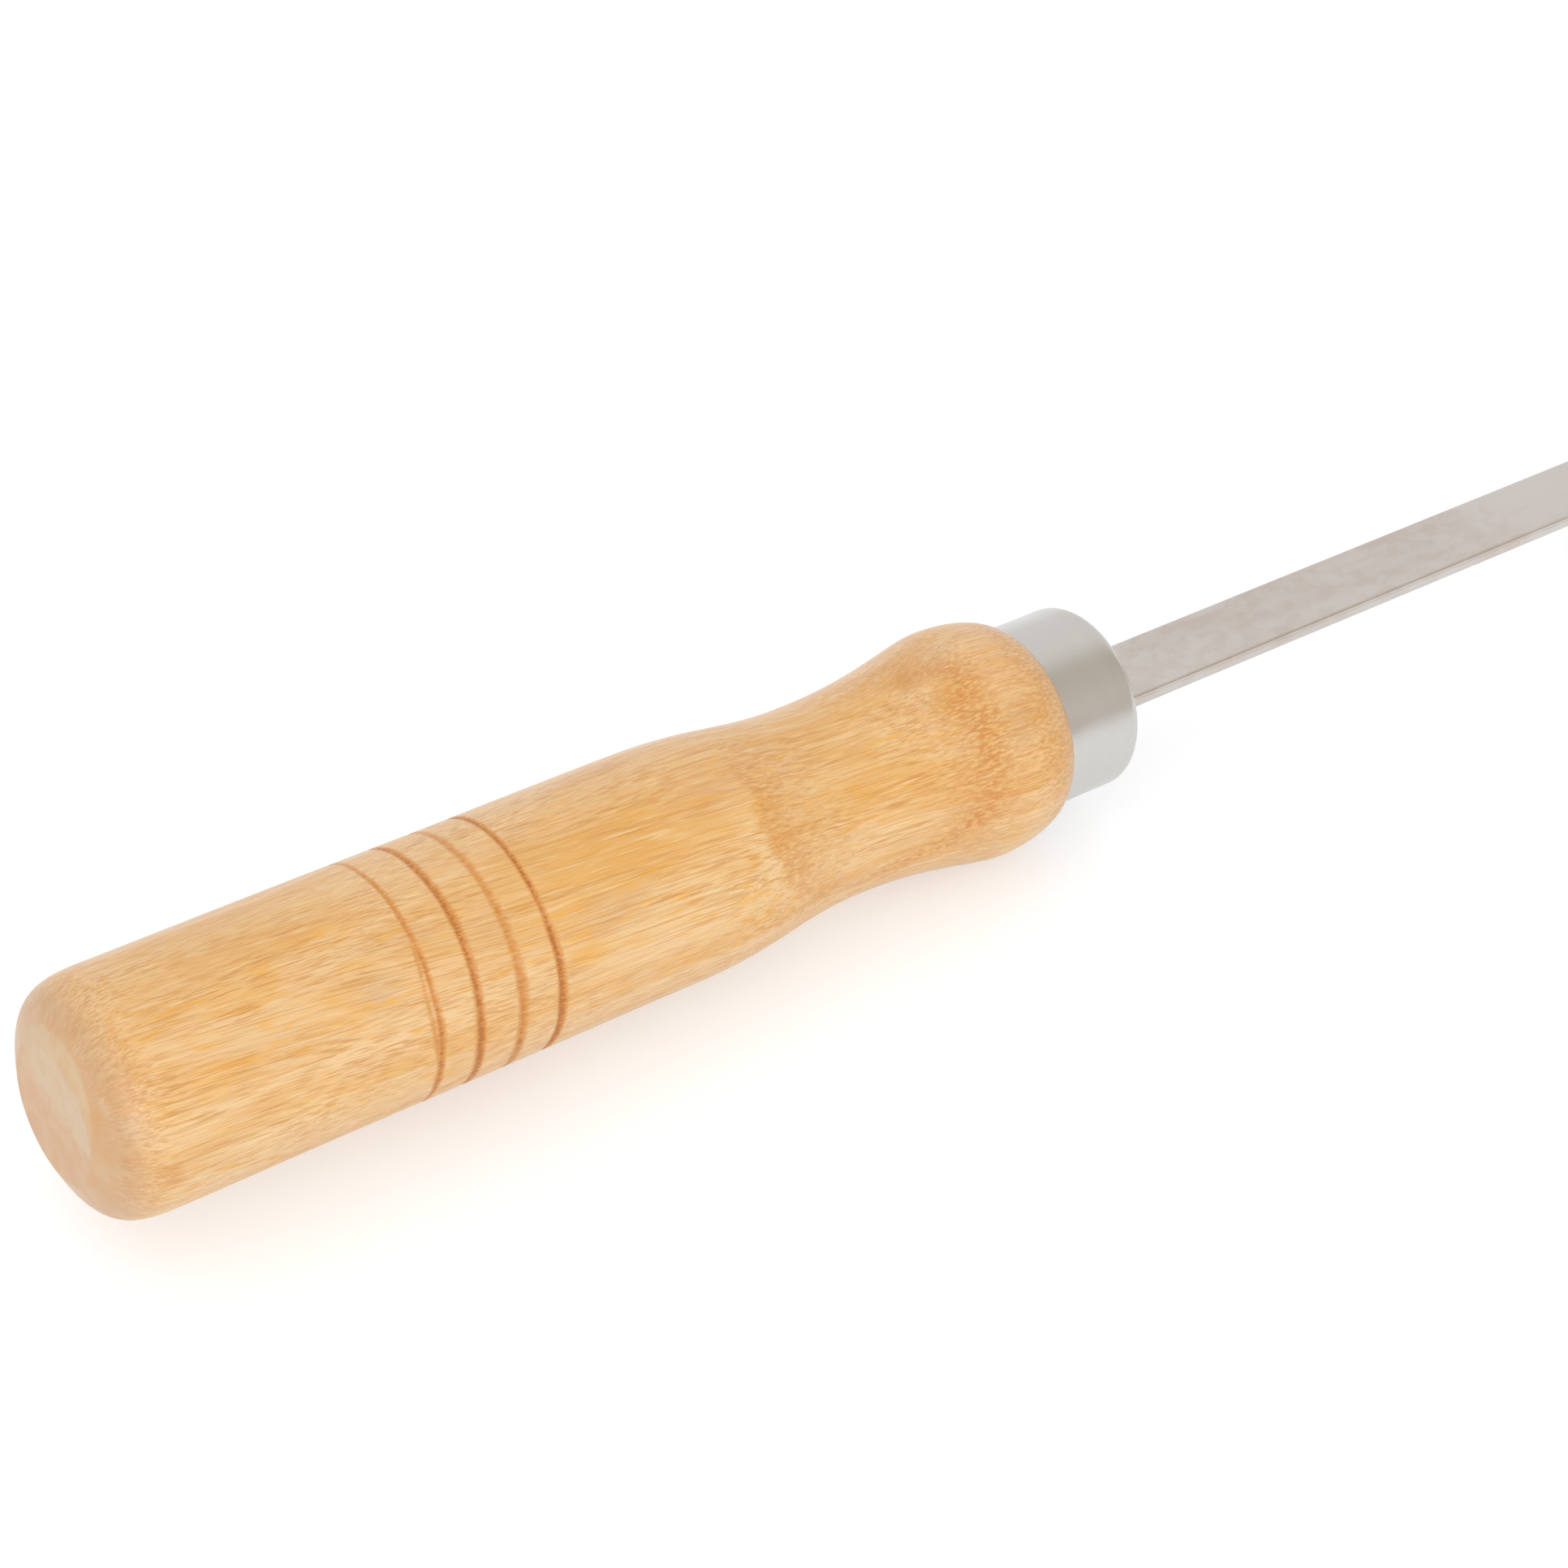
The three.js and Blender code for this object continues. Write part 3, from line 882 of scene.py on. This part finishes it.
class Net:
    """Adds nodes to one node tree. A socket given as an input is linked, and anything else is set on it."""

    def __init__(self, tree):
        self.tree = tree

    def fill(self, sockets, inputs):
        """Gives sockets their inputs, by name or in order."""
        for key, value in inputs.items() if isinstance(inputs, dict) else enumerate(inputs):
            if isinstance(value, bpy.types.NodeSocket):
                self.tree.links.new(value, sockets[key])
            else:
                sockets[key].default_value = value

    def add(self, kind, inputs=(), **settings):
        made = self.tree.nodes.new(kind)
        for name, value in settings.items():
            setattr(made, name, value)
        self.fill(made.inputs, inputs)
        return made

    def math(self, operation, *values):
        return self.add("ShaderNodeMath", values, operation=operation).outputs[0]

    def product(self, first, *others):
        """Values multiplied one after another."""
        for other in others:
            first = self.math("MULTIPLY", first, other)
        return first

    def vector(self, operation, *values):
        return self.add("ShaderNodeVectorMath", values, operation=operation).outputs[0]

    def distance(self, place, middle, shares=(1.0, 1.0, 1.0)):
        """How far a place lies from a middle, where each direction counts by its share."""
        off = self.vector("MULTIPLY", self.vector("SUBTRACT", place, middle), shares)
        return self.add("ShaderNodeVectorMath", (off,), operation="LENGTH").outputs["Value"]

    def parts(self, place):
        """A place as its three numbers."""
        return self.add("ShaderNodeSeparateXYZ", (place,)).outputs

    def soft_step(self, value, low, high, bottom=0.0, top=1.0):
        """A smooth S from bottom at low to top at high."""
        inputs = (value, low, high, bottom, top)
        return self.add("ShaderNodeMapRange", inputs, interpolation_type="SMOOTHSTEP").outputs[0]

    def mix(self, factor, first, second, blend="MIX"):
        """The first colour turned into the second by the factor, which is held between 0 and 1."""
        first, second = (c if isinstance(c, bpy.types.NodeSocket) else (*c, 1.0) for c in (first, second))
        inputs = {0: factor, 6: first, 7: second}
        mixed = self.add("ShaderNodeMix", inputs, data_type="RGBA", blend_type=blend, clamp_factor=True)
        return mixed.outputs[2]

    def noise(self, place, detail, roughness=0.5):
        """Noise with one feature to each unit of the place, as its value and its colour."""
        inputs = {"Vector": place, "Scale": 1.0, "Detail": detail, "Roughness": roughness}
        return self.add("ShaderNodeTexNoise", inputs).outputs

    def carried(self, mask, output="Fac"):
        """A mask that the mesh carries."""
        return self.add("ShaderNodeAttribute", attribute_name=mask).outputs[output]

    def bump(self, height, strength, distance):
        """A normal that follows a height."""
        inputs = {"Strength": strength, "Distance": distance, "Height": height}
        return self.add("ShaderNodeBump", inputs).outputs[0]

    def place(self, group, **inputs):
        """A shared group placed with its own values. The names of its inputs start with a capital."""
        named = {name.capitalize(): value for name, value in inputs.items()}
        return self.add("ShaderNodeGroup", named, node_tree=bpy.data.node_groups[group]).outputs

    def grain(self, position, along, across, shift, detail=2.0):
        """The drawn-out grain, placed with its own values."""
        return self.place(
            GRAIN, position=position, along=along, across=across, shift=shift, detail=detail
        )["Value"]

    def position(self):
        """Millimetres from the middle of the butt end, with X along the axis."""
        inputs = {
            "Vector": self.add("ShaderNodeTexCoord").outputs["Object"],
            "Location": (-butt_x * MILLIMETRES, 0.0, -axis_z * MILLIMETRES),
            "Scale": (MILLIMETRES,) * 3,
        }
        return self.add("ShaderNodeMapping", inputs).outputs[0]


def new_group(name, inputs, outputs):
    """An empty node group with named sockets, as its net, what comes in and what goes out.

    The socket named Position takes a place, and every other one a number.
    """
    tree = bpy.data.node_groups.new(name, "ShaderNodeTree")
    for way, sockets in (("INPUT", inputs), ("OUTPUT", outputs)):
        for socket in sockets:
            kind = "NodeSocketVector" if socket == "Position" else "NodeSocketFloat"
            tree.interface.new_socket(socket, in_out=way, socket_type=kind)
    net = Net(tree)
    return net, net.add("NodeGroupInput").outputs, net.add("NodeGroupOutput").inputs


def make_grain_group():
    """Noise drawn out along the axis, as fibres and brush marks are.

    Along and Across say how many features lie on a millimetre each way, and Shift moves the pattern.
    """
    net, given, taken = new_group(GRAIN, ("Position", "Along", "Across", "Shift", "Detail"), ("Value",))
    counts = net.add("ShaderNodeCombineXYZ", (given["Along"], given["Across"], given["Across"])).outputs[0]
    spread = net.vector("MULTIPLY", given["Position"], counts)
    moved = net.vector("ADD", spread, given["Shift"])
    net.fill(taken, {"Value": net.noise(moved, given["Detail"], roughness=0.55)[0]})


def make_brushed_group():
    """Fine lines that brushing leaves in steel, with a slow drift, as a shade, a roughness and a height."""
    inputs = ("Position", "Along", "Across", "Base", "Change")
    net, given, taken = new_group(BRUSHED, inputs, ("Shade", "Roughness", "Height"))
    lines = net.grain(given["Position"], given["Along"], given["Across"], shift=3.0, detail=3.0)
    slow = net.grain(given["Position"], along=0.05, across=0.12, shift=9.0)
    shade = net.math("ADD", net.product(lines, 0.5), net.product(slow, 0.5))
    centred = net.math("SUBTRACT", shade, 0.5)
    net.fill(taken, {
        "Shade": shade,
        "Roughness": net.math("MULTIPLY_ADD", centred, given["Change"], given["Base"]),
        "Height": lines,
    })


def new_material(name):
    """A material, as itself, its net and its surface shader."""
    material = bpy.data.materials.new(name)
    material.use_nodes = True
    return material, Net(material.node_tree), material.node_tree.nodes["Principled BSDF"]


def scaled(tone, share):
    """A colour made lighter or darker."""
    return [channel * share for channel in tone]


def patch_mask(net, position, patch, ragged):
    """An egg-shaped patch, full near its middle and fading to its ragged edge."""
    facing = math.radians(patch.facing)
    radius = bpy.context.scene.skewer_handle.grip_radius * MILLIMETRES
    middle = (patch.station, -radius * math.cos(facing), radius * math.sin(facing))
    away = net.distance(position, middle, (1 / patch.reach, 1 / patch.width, 1 / patch.width))
    away = net.math("MULTIPLY_ADD", ragged, PATCH_RAGGED, away)
    return net.soft_step(away, *PATCH_FADE, patch.weight, 0.0)


def pale_end_mask(net, position, ragged):
    """The paler upper half of the butt end: inside a crisp round edge and above a soft slanting one."""
    away = net.distance(position, PALE_END_MIDDLE)
    away = net.math("MULTIPLY_ADD", ragged, ROUND_EDGE_RAGGED, away)
    inside = net.soft_step(away, PALE_END_RADIUS, PALE_END_RADIUS + PALE_END_EDGE, 1.0, 0.0)
    across, up = net.parts(position)[1:3]
    above = net.math("MULTIPLY_ADD", across, PALE_END_SLANT, up)
    above = net.math("MULTIPLY_ADD", ragged, SLANT_EDGE_RAGGED, above)
    upper = net.soft_step(above, *PALE_END_UPWARDS)
    return net.product(upper, net.soft_step(across, *PALE_END_FAR), inside)


def drifting_fibres(net, position):
    """Places turned so that X runs along the fibres, which drift slowly to the sides."""
    turned = net.add("ShaderNodeMapping", {"Vector": position, "Rotation": FIBRE_TURN}).outputs[0]
    slow = net.noise(net.vector("MULTIPLY", turned, FIBRE_DRIFT_RATE), 1.0)["Color"]
    drift = net.vector("MULTIPLY", net.vector("SUBTRACT", slow, (0.5, 0.5, 0.5)), FIBRE_DRIFT)
    return net.vector("ADD", turned, drift)


def growth_bands(net, fibred, tones):
    """Plain wood with golden and pale bands round the heart of the tree."""
    along = net.product(net.parts(fibred)[0], BANDS_ALONG)
    away = net.product(net.distance(fibred, PITH, (0.0, 1.0, 1.0)), BANDS_ACROSS)
    layers = net.add("ShaderNodeCombineXYZ", (along, away, 0.0)).outputs[0]
    bands = net.add("ShaderNodeSeparateColor", (net.noise(layers, 3.0)["Color"],)).outputs
    tone = net.mix(net.soft_step(bands[0], *FADES["golden bands"]), tones.beige, tones.golden)
    return net.mix(net.soft_step(bands[1], *FADES["pale bands"]), tone, tones.pale)


def wood_material(tones):
    """Turned hardwood under a thin satin lacquer.

    The pattern is solid, so that the shape cuts through it: growth bands round the heart of the tree, single
    patches, then flecks, fibres and light lines drawn out along the fibres, which come and go in clusters.
    The mottle, the bloom behind it, the end grain and the burnt lines follow masks that the mesh carries.
    """
    material, net, surface = new_material("Lacquered Hardwood")
    position = net.position()
    fibred = drifting_fibres(net, position)
    slope, mottle, bloom, burn = (net.carried(mask) for mask in ("slope", "mottle", "bloom", "burn"))
    along_surface = net.carried("surface", "Vector")

    def marks(name, place=fibred):
        """Markings of the table, drawn out along the fibres or along the surface."""
        mark = MARKINGS[name]
        value = net.grain(place, mark.along, mark.across, mark.shift, mark.detail)
        return net.soft_step(value, mark.start, mark.full, 0.0, mark.weight)

    def fade(name, value):
        return net.soft_step(value, *FADES[name])

    ragged = marks("ragged")
    tone = growth_bands(net, fibred, tones)
    for patch in PATCHES:
        tone = net.mix(patch_mask(net, position, patch, ragged), tone, getattr(tones, patch.tone))
    tone = net.mix(marks("clouds"), tone, tones.stain)
    tone = net.mix(net.product(bloom, BLOOM_SHARE), tone, tones.pale)

    # Where the fibres end in the surface their streaks show less
    lying = fade("lying fibres", slope)
    fibres = net.product(marks("fibres"), marks("clumps"), lying)
    tone = net.mix(net.product(marks("flecks"), marks("clusters"), lying), tone, tones.amber)
    tone = net.mix(net.product(marks("light lines"), lying), tone, tones.pale)
    tone = net.mix(fibres, tone, tones.fibre)
    tone = net.mix(net.product(marks("fine fibres"), lying), tone, tones.fibre)

    # The mottle, a golden glow with specks in it
    areas = marks("speckled areas")
    cut_fibres = net.math("ADD", mottle, fade("cut fibres", slope))
    tone = net.mix(net.product(mottle, areas, MOTTLE_GLOW), tone, tones.golden)
    tone = net.mix(net.product(cut_fibres, areas, marks("specks")), tone, tones.mottle)

    # The rounded butt end and the front of the swell, with short strokes that follow the surface
    blotches = marks("blotches")
    end_tone = net.mix(blotches, tones.end_grain, tones.mottle)
    end_tone = net.mix(marks("end stains"), end_tone, tones.stain)
    end_tone = net.mix(fade("flat end", slope), end_tone, tones.mottle)
    tone = net.mix(fade("end grain", slope), tone, end_tone)
    turning = net.product(fade("strokes start", slope), fade("strokes end", slope))
    tone = net.mix(net.product(marks("strokes", along_surface), turning), tone, tones.stroke)
    tone = net.mix(net.product(marks("pale strokes", along_surface), turning), tone, tones.pale)
    clouded = net.mix(blotches, tones.pale_end, end_tone)
    tone = net.mix(pale_end_mask(net, position, ragged), tone, clouded)

    burn = net.product(burn, net.math("ADD", marks("uneven burn"), LEAST_BURN))
    tone = net.mix(fade("scorched", burn), tone, tones.scorch)
    tone = net.mix(fade("burnt", burn), tone, tones.burnt)
    sunk = net.product(fibres, net.math("SUBTRACT", slope, 1.0))
    net.fill(surface.inputs, {
        "Base Color": tone,
        "Roughness": net.math("MULTIPLY_ADD", fibres, FIBRE_ROUGHNESS, WOOD_ROUGHNESS),
        "Normal": net.bump(sunk, strength=0.06, distance=0.00006),
        "IOR": 1.48,
        "Coat Weight": fade("coat", burn),
        "Coat Roughness": 0.22,
    })
    return material


def ferrule_material(tones):
    """Satin drawn steel, faintly brushed round the ferrule and a little uneven."""
    material, net, surface = new_material("Satin Drawn Steel")
    position = net.position()
    marks = net.place(BRUSHED, position=position, along=1.1, across=0.05, base=0.23, change=0.05)
    cloud = net.grain(position, along=0.26, across=0.26, shift=47.0, detail=0.0)
    shade = net.soft_step(marks["Shade"], *SHADE_SPAN)
    net.fill(surface.inputs, {
        "Base Color": net.mix(shade, *(scaled(tones.steel, share) for share in FERRULE_SHADES)),
        "Metallic": 1.0,
        "Roughness": net.math("MULTIPLY_ADD", cloud, CLOUD_ROUGHNESS, marks["Roughness"]),
        "Normal": net.bump(cloud, strength=0.6, distance=0.00006),
    })
    return material


def blade_material(tones):
    """Satin rolled strip, with faint lines along it and a warm cast that drifts and ends ahead."""
    material, net, surface = new_material("Satin Rolled Steel")
    position = net.position()
    marks = net.place(BRUSHED, position=position, along=0.05, across=4.0, base=0.30, change=0.10)
    drift = net.soft_step(net.grain(position, along=0.04, across=0.2, shift=15.0), *CAST_DRIFT)
    cloud = net.grain(position, along=0.35, across=0.55, shift=28.0, detail=3.0)
    cloud = net.soft_step(cloud, *CAST_CLOUD)
    ended = net.soft_step(net.parts(position)[0], *CAST_ENDS)
    warm = net.math("SUBTRACT", net.math("ADD", drift, cloud), ended)
    tone = net.mix(warm, tones.steel, tones.cast)
    shade = net.mix(net.soft_step(marks["Shade"], *SHADE_SPAN), (BLADE_SHADE,) * 3, (1.0,) * 3)
    net.fill(surface.inputs, {
        "Base Color": net.mix(1.0, tone, shade, blend="MULTIPLY"),
        "Metallic": 1.0,
        "Roughness": marks["Roughness"],
        "Normal": net.bump(marks["Height"], strength=0.12, distance=0.00002),
    })
    return material


def adhesive_material(tones):
    """Set resin, slightly cloudy."""
    material, net, surface = new_material("Set Adhesive")
    cloud = net.grain(net.position(), along=0.2, across=0.6, shift=2.0, detail=3.0)
    shade = net.soft_step(cloud, *SHADE_SPAN)
    net.fill(surface.inputs, {
        "Base Color": net.mix(shade, scaled(tones.resin, RESIN_SHADE), tones.resin),
        "Roughness": 0.35,
        "Normal": net.bump(cloud, strength=0.2, distance=0.0002),
    })
    return material


def floor_material(sizes):
    """A pale floor that keeps shadows.

    What it gives back falls short of white, and a glow that only the camera and reflections see makes up the
    rest. From underneath it is clear.
    """
    material, net, surface = new_material("Pale Floor")
    net.tree.nodes.remove(surface)
    path = net.add("ShaderNodeLightPath").outputs
    mirrored = net.math("MAXIMUM", path["Is Glossy Ray"], path["Is Transmission Ray"])
    seen = net.math("MAXIMUM", path["Is Camera Ray"], net.product(mirrored, sizes.mirrored_share))
    matt = net.add("ShaderNodeBsdfDiffuse", {"Color": (*sizes.floor_shade, 1.0)}).outputs[0]
    glow = net.add("ShaderNodeEmission", {"Strength": net.product(seen, sizes.floor_glow)}).outputs[0]
    lit = net.add("ShaderNodeAddShader", (matt, glow)).outputs[0]
    under = net.add("ShaderNodeNewGeometry").outputs["Backfacing"]
    clear = net.add("ShaderNodeBsdfTransparent").outputs[0]
    both = net.add("ShaderNodeMixShader", (under, lit, clear)).outputs[0]
    net.fill(net.tree.nodes["Material Output"].inputs, {"Surface": both})
    return material


def studio_world(sizes):
    """Bright walls all round, a little less bright behind, with a dimmer gap to the right of the camera.

    The walls change from front to back by the angle round the X axis, and so does the gap, which starts just
    above the floor and ends past overhead. The camera itself sees plain white.
    """
    world = bpy.data.worlds.new("Studio")
    world.use_nodes = True
    net = Net(world.node_tree)
    direction = net.parts(net.add("ShaderNodeTexCoord").outputs["Generated"])
    turned = net.math("ARCTAN2", direction[2], net.product(direction[1], -1.0))

    def round_x(name):
        start, end, bottom, top = STUDIO_TURNS[name]
        return net.soft_step(turned, math.radians(start), math.radians(end), bottom, top)

    walls = net.mix(round_x("walls"), sizes.front, sizes.back)
    gap = net.mix(round_x("gap top"), sizes.gap, sizes.gap_top)
    gap = net.mix(round_x("gap foot"), gap, sizes.gap_foot)
    beside = net.soft_step(direction[0], *GAP_SIDE)
    around = net.mix(net.product(round_x("gap starts"), round_x("gap ends"), beside), walls, gap)
    path = net.add("ShaderNodeLightPath").outputs
    plain = net.math("MAXIMUM", path["Is Camera Ray"], path["Is Transmission Ray"])
    net.fill(net.tree.nodes["Background"].inputs, {"Color": net.mix(plain, around, (1.0, 1.0, 1.0))})
    return world


class SKEWER_OT_handle(bpy.types.Operator):
    """Turn the wooden handle with its burnt lines, spigot and bore"""

    bl_idname = "skewer.make_handle"
    bl_label = "Make Handle"

    def execute(self, context):
        scene = context.scene
        material = wood_material(scene.skewer_wood)
        grid, ends, masks = handle_grid(scene.skewer_handle, scene.skewer_ferrule.radius)
        make_piece("turned_handle", "handle", grid, material, ends, masks)
        return {"FINISHED"}


class SKEWER_OT_ferrule(bpy.types.Operator):
    """Draw the steel ferrule with its slotted front"""

    bl_idname = "skewer.make_ferrule"
    bl_label = "Make Ferrule"

    def execute(self, context):
        sizes = context.scene.skewer_ferrule
        grid = ferrule_grid(sizes, context.scene.skewer_handle.shoulder)
        make_piece("drawn_ferrule", "ferrule", grid, ferrule_material(sizes))
        return {"FINISHED"}


class SKEWER_OT_blade(bpy.types.Operator):
    """Cut the flat blade with its tang, rolled edges and point"""

    bl_idname = "skewer.make_blade"
    bl_label = "Make Blade"

    def execute(self, context):
        sizes = context.scene.skewer_blade
        grid, ends = blade_grid(sizes, context.scene.skewer_ferrule)
        make_piece("flat_blade", "blade", grid, blade_material(sizes), ends)
        return {"FINISHED"}


class SKEWER_OT_adhesive(bpy.types.Operator):
    """Finish the adhesive that holds the tang in the bore"""

    bl_idname = "skewer.finish_adhesive"
    bl_label = "Finish Adhesive"

    def execute(self, context):
        mesh = frame["nodes"]["bore_adhesive"].data
        mesh.materials.clear()
        mesh.materials.append(adhesive_material(context.scene.skewer_adhesive))
        return {"FINISHED"}


class SKEWER_OT_stage(bpy.types.Operator):
    """Set up the floor, the surroundings, the lamp and the camera"""

    bl_idname = "skewer.set_stage"
    bl_label = "Set Stage"

    def execute(self, context):
        scene = context.scene
        sizes = scene.skewer_stage
        self.lay_floor(scene, sizes)
        self.hang_lamp(scene, sizes)
        self.stand_camera(scene, sizes)
        scene.world = studio_world(sizes)
        scene.view_settings.view_transform = "Standard"
        return {"FINISHED"}

    def lay_floor(self, scene, sizes):
        """A square that touches the skewer where it lies: under the swell and under the blade's tip."""
        handle = scene.skewer_handle
        swell = Vector((butt_x + handle.swell_station, 0, axis_z - handle.swell_radius - handle.waver))
        tip = Vector((butt_x + point_end, 0, axis_z - scene.skewer_blade.tip_thickness / 2))
        along = (tip - swell).normalized() * sizes.floor_size / 2
        aside = Vector((0, sizes.floor_size / 2, 0))
        corners = [swell - along - aside, swell + along - aside, swell + along + aside, swell - along + aside]
        mesh = bpy.data.meshes.new("floor")
        mesh.from_pydata(corners, [], [(0, 1, 2, 3)])
        mesh.materials.append(floor_material(sizes))
        floor = bpy.data.objects.new("floor", mesh)
        scene.collection.objects.link(floor)

    def hang_lamp(self, scene, sizes):
        """One broad soft lamp, low on the left of the camera, turned to the handle."""
        lamp = bpy.data.lights.new("soft_lamp", "AREA")
        lamp.shape = "SQUARE"
        lamp.size = sizes.lamp_size
        lamp.energy = sizes.lamp_power
        holder = bpy.data.objects.new("soft_lamp", lamp)
        outwards = Vector(LAMP_WAY).normalized()
        holder.location = Vector(*on_axis(sizes.aim_station)) + outwards * sizes.lamp_distance
        holder.rotation_mode = "QUATERNION"
        holder.rotation_quaternion = outwards.to_track_quat("Z", "Y")
        scene.collection.objects.link(holder)

    def stand_camera(self, scene, sizes):
        """The camera stands back from the place it aims at, against its line of sight, and is then rolled."""
        sight = Vector((
            math.sin(sizes.azimuth) * math.cos(sizes.elevation),
            math.cos(sizes.azimuth) * math.cos(sizes.elevation),
            -math.sin(sizes.elevation),
        ))
        aim = Vector((butt_x + sizes.aim_station, 0, axis_z + sizes.aim_height))
        lens = bpy.data.cameras.new("camera")
        lens.sensor_width = SENSOR_WIDTH
        lens.lens = sizes.lens
        camera = bpy.data.objects.new("camera", lens)
        camera.location = aim - sight * sizes.distance
        level = sight.to_track_quat("-Z", "Y")
        camera.rotation_mode = "QUATERNION"
        camera.rotation_quaternion = level @ Quaternion((0, 0, 1), sizes.roll)
        scene.collection.objects.link(camera)
        scene.camera = camera


class SKEWER_PT_pieces(bpy.types.Panel):
    """The skewer's pieces and its stage"""

    bl_idname = "SKEWER_PT_pieces"
    bl_label = "Kebab Skewer"
    bl_space_type = "VIEW_3D"
    bl_region_type = "UI"
    bl_category = "Skewer"

    def draw(self, context):
        for operator in OPERATORS:
            self.layout.operator(operator.bl_idname)
        for name in GROUPS:
            box = self.layout.box()
            settings = getattr(context.scene, name)
            for key in settings.__annotations__:
                box.prop(settings, key)


GROUPS = {
    "skewer_handle": HandleSizes,
    "skewer_wood": WoodColours,
    "skewer_ferrule": FerruleSizes,
    "skewer_blade": BladeSizes,
    "skewer_adhesive": AdhesiveColours,
    "skewer_stage": StageSizes,
}
OPERATORS = (SKEWER_OT_handle, SKEWER_OT_ferrule, SKEWER_OT_blade, SKEWER_OT_adhesive, SKEWER_OT_stage)


def register():
    for name, group in GROUPS.items():
        bpy.utils.register_class(group)
        setattr(bpy.types.Scene, name, PointerProperty(type=group))
    for kind in (*OPERATORS, SKEWER_PT_pieces):
        bpy.utils.register_class(kind)


def unregister():
    for kind in (SKEWER_PT_pieces, *reversed(OPERATORS)):
        bpy.utils.unregister_class(kind)
    for name, group in GROUPS.items():
        delattr(bpy.types.Scene, name)
        bpy.utils.unregister_class(group)


def main():
    register()
    make_grain_group()
    make_brushed_group()
    bpy.ops.skewer.make_handle()
    bpy.ops.skewer.make_ferrule()
    bpy.ops.skewer.make_blade()
    bpy.ops.skewer.finish_adhesive()
    bpy.ops.skewer.set_stage()


if __name__ == "__main__":
    main()
